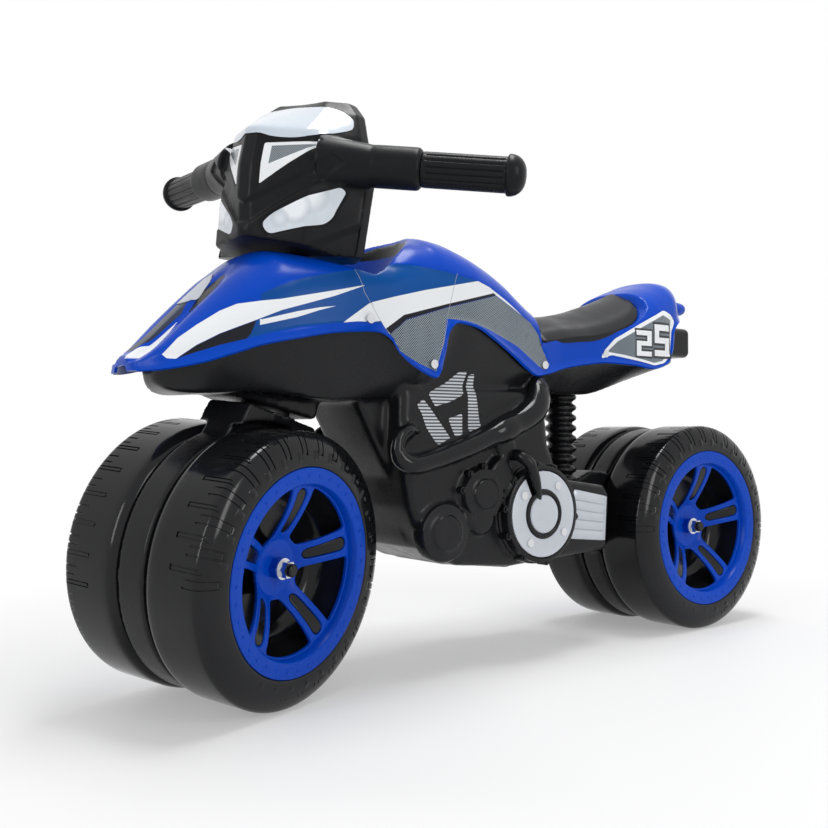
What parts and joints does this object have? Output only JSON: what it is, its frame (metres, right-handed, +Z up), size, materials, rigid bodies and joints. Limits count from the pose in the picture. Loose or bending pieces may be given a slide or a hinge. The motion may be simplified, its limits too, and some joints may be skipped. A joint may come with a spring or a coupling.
{
  "type": "foot-to-floor ride-on motorbike",
  "caption": "Child's foot-to-floor ride-on motorbike in moulded plastic: long shell cover over a black body, raked steering with handlebar pod, wide twin wheels front and rear",
  "frame": {"origin": "on the floor, under the middle of the rear axle", "axes": "+X forward along the bike, +Y to the rider's left along the rear axle, +Z up"},
  "size_m": [0.8063, 0.3901, 0.5242],
  "materials": {
    "blue_plastic": "glossy moulded blue",
    "black_plastic": "glossy blow-moulded black",
    "black_soft": "satin black",
    "bearing_plastic": "plain bearing plastic",
    "silver_print": "silver grey printed plate",
    "clear_print": "pale printed panel",
    "steel": "drawn steel",
    "bright_steel": "bright plated"
  },
  "bodies": {
    "frame": {"frame_body": "black_plastic", "cover": "blue_plastic", "cover_screws": "steel", "engine_screws": "steel", "seat": "black_soft", "rear_shock_boot": "black_plastic", "tail_lamp": "black_plastic", "steering_bush_lower": "bearing_plastic", "steering_bush_upper": "bearing_plastic", "rear_axle": "steel", "rear_washers": "bright_steel", "rear_nuts": "bright_steel", "rear_caps": "black_plastic", "nose_badge": "silver_print", "number_plate_left": "silver_print", "engine_ring_left": "silver_print", "engine_cap_left": "silver_print", "ribbed_plate_left": "silver_print", "fin_plate_left": "silver_print", "number_plate_right": "silver_print", "engine_ring_right": "silver_print", "engine_cap_right": "silver_print", "ribbed_plate_right": "silver_print", "fin_plate_right": "silver_print"},
    "steering": {"handlebar": "black_plastic", "fork": "black_plastic", "steering_tube": "steel", "screen_panel": "clear_print", "race_plate": "silver_print", "headlamp_left": "clear_print", "headlamp_right": "clear_print", "grip_left": "black_soft", "grip_right": "black_soft", "front_axle": "steel", "front_washers": "bright_steel", "front_nuts": "bright_steel", "front_caps": "black_plastic"},
    "front_left_wheel": {"wheel_front_left": "black_plastic", "rim_front_left": "blue_plastic", "hub_front_left": "bearing_plastic"},
    "front_right_wheel": {"wheel_front_right": "black_plastic", "rim_front_right": "blue_plastic", "hub_front_right": "bearing_plastic"},
    "rear_left_wheel": {"wheel_rear_left": "black_plastic", "rim_rear_left": "blue_plastic", "hub_rear_left": "bearing_plastic"},
    "rear_right_wheel": {"wheel_rear_right": "black_plastic", "rim_rear_right": "blue_plastic", "hub_rear_right": "bearing_plastic"}
  },
  "joints": [
    {"name": "steering_turn", "type": "hinge", "parent": "frame", "child": "steering", "pos_m": [0.55997, 0, 0.1206], "axis": [-0.2567, 0, 0.9665], "range_deg": [-55.3, 14.7]},
    {"name": "front_left_spin", "type": "hinge", "parent": "steering", "child": "front_left_wheel", "pos_m": [0.55997, 0, 0.1206], "axis": [-0.3353, 0.9379, -0.089], "continuous": true},
    {"name": "front_right_spin", "type": "hinge", "parent": "steering", "child": "front_right_wheel", "pos_m": [0.55997, 0, 0.1206], "axis": [-0.3353, 0.9379, -0.089], "continuous": true},
    {"name": "rear_left_spin", "type": "hinge", "parent": "frame", "child": "rear_left_wheel", "pos_m": [0, 0, 0.115], "axis": [0, 1, 0], "continuous": true},
    {"name": "rear_right_spin", "type": "hinge", "parent": "frame", "child": "rear_right_wheel", "pos_m": [0, 0, 0.115], "axis": [0, 1, 0], "continuous": true}
  ]
}
